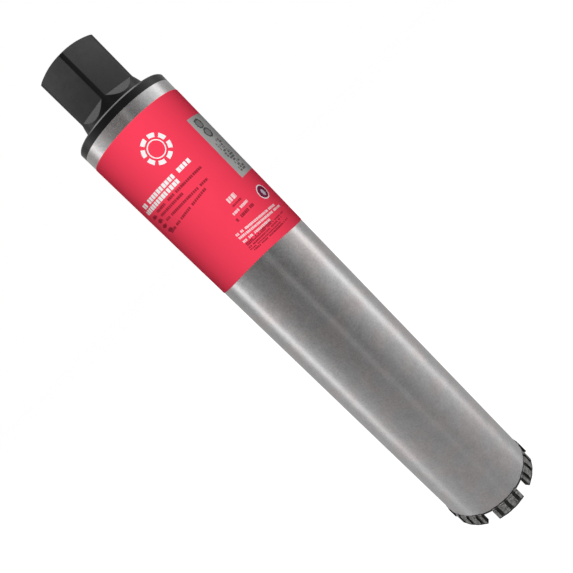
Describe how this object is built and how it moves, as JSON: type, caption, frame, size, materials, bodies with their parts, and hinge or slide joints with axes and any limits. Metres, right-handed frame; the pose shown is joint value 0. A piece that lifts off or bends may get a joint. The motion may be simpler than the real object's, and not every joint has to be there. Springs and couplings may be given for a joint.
{
  "type": "diamond core bit",
  "caption": "Thin-walled tubular wet core bit with grooved diamond segments round its crown, a wrapped label and a threaded hexagonal hub.",
  "frame": {"origin": "centre of the crown at the plane of the cutting tips", "axes": "+Z along the barrel's axis from the cutting tips to the hub, -Y towards the front of the label"},
  "size_m": [0.0762, 0.0761, 0.43],
  "materials": {
    "barrel_steel": "fine turned, clear lacquered",
    "hub_steel": "satin black",
    "label_film": "semi-gloss printed film",
    "diamond_matrix": "rough sintered metal"
  },
  "bodies": {
    "root": {"tube": "barrel_steel", "hub": "hub_steel", "label": "label_film", "segment_1": "diamond_matrix", "segment_2": "diamond_matrix", "segment_3": "diamond_matrix", "segment_4": "diamond_matrix", "segment_5": "diamond_matrix", "segment_6": "diamond_matrix", "segment_7": "diamond_matrix"}
  },
  "joints": []
}
